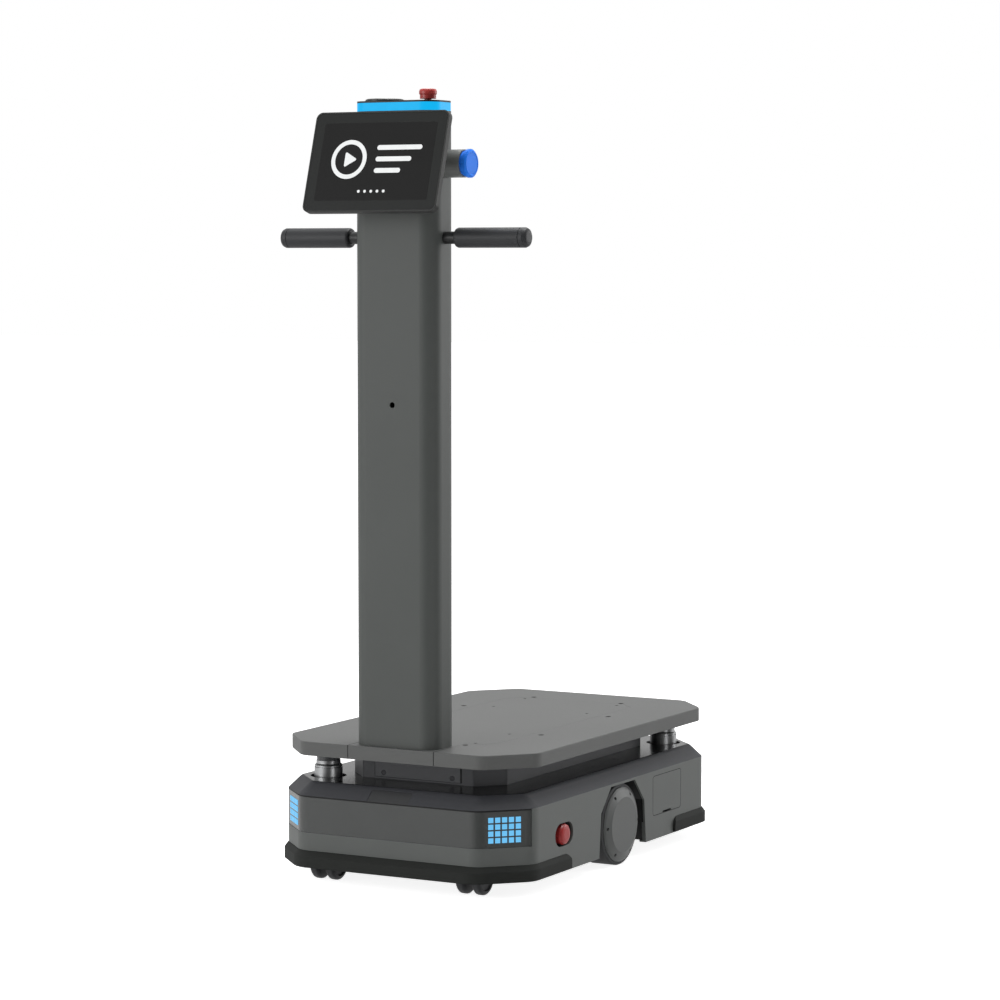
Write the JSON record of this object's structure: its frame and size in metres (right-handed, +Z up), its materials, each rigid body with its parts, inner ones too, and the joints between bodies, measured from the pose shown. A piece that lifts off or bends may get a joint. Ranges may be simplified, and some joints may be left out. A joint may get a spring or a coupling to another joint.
{
  "type": "autonomous mobile robot",
  "caption": "Low indoor transport robot with a flat load deck, driven wheels and swivel casters, and a tall front mast with push handles, call button, light ring and tilted touch screen.",
  "frame": {"origin": "bottom centre of the bounding box, on the floor", "axes": "+Z up; the robot drives forward along -Y; its left is +X"},
  "size_m": [0.5, 0.88, 1.354],
  "materials": {
    "body_paint": "satin",
    "shoulder_paint": "satin",
    "pedestal_paint": "satin",
    "scanner_hood": "gloss",
    "scanner_head": "satin",
    "panel_paint": "satin",
    "deck_paint": "satin",
    "mast_paint": "satin",
    "chassis_steel": "satin",
    "window_tint": "gloss",
    "lamp_blue": "emissive",
    "sensor_glass": "gloss",
    "bumper_rubber": "matte",
    "buffer_rubber": "matte",
    "inner_black": "matte",
    "raw_aluminium": "brushed",
    "turned_aluminium": "turned",
    "turned_steel": "turned",
    "screw_steel": "blackened",
    "caster_steel": "zinc",
    "caster_rubber": "matte",
    "tyre_rubber": "matte",
    "cover_plastic": "satin",
    "ring_light": "emissive",
    "stop_red": "gloss",
    "screen_case": "satin",
    "screen_glass": "gloss",
    "grip_grey": "satin",
    "call_blue": "gloss"
  },
  "bodies": {
    "base": {"chassis_frame": "chassis_steel", "body_shell": "body_paint", "top_cover": "shoulder_paint", "belly_tray": "inner_black", "front_window": "window_tint", "window_lamps": "lamp_blue", "sensor_window": "sensor_glass", "front_bumper": "bumper_rubber", "rear_bumper": "bumper_rubber", "side_hatches": "body_paint", "side_stop_cups": "inner_black", "battery_pack": "inner_black", "control_unit": "raw_aluminium", "arm_pins": "turned_steel", "caster_plates": "turned_steel", "scanner_mounts": "turned_aluminium", "scanner_hoods": "scanner_hood", "pedestal": "pedestal_paint", "pedestal_panel": "panel_paint", "fixed_screws": "screw_steel", "centre_plate": "deck_paint", "deck_plate": "deck_paint", "mast": "mast_paint", "light_ring": "ring_light", "top_cap": "inner_black", "ceiling_camera": "inner_black", "screen_housing": "screen_case", "screen_glass": "screen_glass", "screen_bracket": "inner_black", "handle_studs": "inner_black", "handle_grips": "grip_grey", "call_boss": "inner_black", "arm_buffer_left": "buffer_rubber", "arm_buffer_right": "buffer_rubber"},
    "left_arm": {"drive_arm_left": "chassis_steel", "drive_motor_left": "raw_aluminium"},
    "left_wheel": {"drive_hub_left": "raw_aluminium", "drive_tyre_left": "tyre_rubber", "wheel_cover_left": "cover_plastic", "cover_screws_left": "screw_steel"},
    "right_arm": {"drive_arm_right": "chassis_steel", "drive_motor_right": "raw_aluminium"},
    "right_wheel": {"drive_hub_right": "raw_aluminium", "drive_tyre_right": "tyre_rubber", "wheel_cover_right": "cover_plastic", "cover_screws_right": "screw_steel"},
    "front_left_fork": {"caster_fork_front_left": "caster_steel"},
    "front_left_caster": {"caster_wheels_front_left": "caster_rubber"},
    "front_right_fork": {"caster_fork_front_right": "caster_steel"},
    "front_right_caster": {"caster_wheels_front_right": "caster_rubber"},
    "rear_left_fork": {"caster_fork_rear_left": "caster_steel"},
    "rear_left_caster": {"caster_wheels_rear_left": "caster_rubber"},
    "rear_right_fork": {"caster_fork_rear_right": "caster_steel"},
    "rear_right_caster": {"caster_wheels_rear_right": "caster_rubber"},
    "front_rotor": {"scanner_rotor_front": "scanner_head"},
    "rear_rotor": {"scanner_rotor_rear": "scanner_head"},
    "left_stop": {"side_stop_button_left": "stop_red"},
    "right_stop": {"side_stop_button_right": "stop_red"},
    "top_stop": {"top_stop_button": "stop_red"},
    "call_key": {"call_button": "call_blue"}
  },
  "joints": [
    {"name": "left_arm_swing", "type": "hinge", "parent": "base", "child": "left_arm", "pos_m": [0.176, 0.13648, 0.058], "axis": [1, 0, 0], "range_deg": [-1.5, 2], "stiffness_Nm_per_rad": 240, "springref_deg": 1, "deforming": ["arm_buffer_left"]},
    {"name": "left_wheel_spin", "type": "hinge", "parent": "left_arm", "child": "left_wheel", "pos_m": [0.215, 0.02248, 0.0725], "axis": [1, 0, 0], "continuous": true},
    {"name": "right_arm_swing", "type": "hinge", "parent": "base", "child": "right_arm", "pos_m": [-0.176, 0.13648, 0.058], "axis": [1, 0, 0], "range_deg": [-1.5, 2], "stiffness_Nm_per_rad": 240, "springref_deg": 1, "deforming": ["arm_buffer_right"]},
    {"name": "right_wheel_spin", "type": "hinge", "parent": "right_arm", "child": "right_wheel", "pos_m": [-0.215, 0.02248, 0.0725], "axis": [1, 0, 0], "continuous": true},
    {"name": "front_left_swivel", "type": "hinge", "parent": "base", "child": "front_left_fork", "pos_m": [0.144, -0.32052, 0.066], "axis": [0, 0, 1], "continuous": true},
    {"name": "front_left_roll", "type": "hinge", "parent": "front_left_fork", "child": "front_left_caster", "pos_m": [0.144, -0.33552, 0.027], "axis": [1, 0, 0], "continuous": true},
    {"name": "front_right_swivel", "type": "hinge", "parent": "base", "child": "front_right_fork", "pos_m": [-0.144, -0.32052, 0.066], "axis": [0, 0, 1], "continuous": true},
    {"name": "front_right_roll", "type": "hinge", "parent": "front_right_fork", "child": "front_right_caster", "pos_m": [-0.144, -0.33552, 0.027], "axis": [1, 0, 0], "continuous": true},
    {"name": "rear_left_swivel", "type": "hinge", "parent": "base", "child": "rear_left_fork", "pos_m": [0.144, 0.36548, 0.066], "axis": [0, 0, 1], "continuous": true},
    {"name": "rear_left_roll", "type": "hinge", "parent": "rear_left_fork", "child": "rear_left_caster", "pos_m": [0.144, 0.38048, 0.027], "axis": [1, 0, 0], "continuous": true},
    {"name": "rear_right_swivel", "type": "hinge", "parent": "base", "child": "rear_right_fork", "pos_m": [-0.144, 0.36548, 0.066], "axis": [0, 0, 1], "continuous": true},
    {"name": "rear_right_roll", "type": "hinge", "parent": "rear_right_fork", "child": "rear_right_caster", "pos_m": [-0.144, 0.38048, 0.027], "axis": [1, 0, 0], "continuous": true},
    {"name": "front_scanner_spin", "type": "hinge", "parent": "base", "child": "front_rotor", "pos_m": [-0.1714, -0.29162, 0.162], "axis": [0, 0, 1], "continuous": true},
    {"name": "rear_scanner_spin", "type": "hinge", "parent": "base", "child": "rear_rotor", "pos_m": [0.1714, 0.33658, 0.162], "axis": [0, 0, 1], "continuous": true},
    {"name": "left_stop_push", "type": "slide", "parent": "base", "child": "left_stop", "axis": [-1, 0, 0], "range_m": [0, 0.005], "stiffness_N_per_m": 400},
    {"name": "right_stop_push", "type": "slide", "parent": "base", "child": "right_stop", "axis": [1, 0, 0], "range_m": [0, 0.005], "stiffness_N_per_m": 400},
    {"name": "top_stop_push", "type": "slide", "parent": "base", "child": "top_stop", "axis": [0, 0, -1], "range_m": [0, 0.003], "stiffness_N_per_m": 400},
    {"name": "call_button_push", "type": "slide", "parent": "base", "child": "call_key", "axis": [-1, 0, 0], "range_m": [0, 0.004], "stiffness_N_per_m": 400}
  ]
}
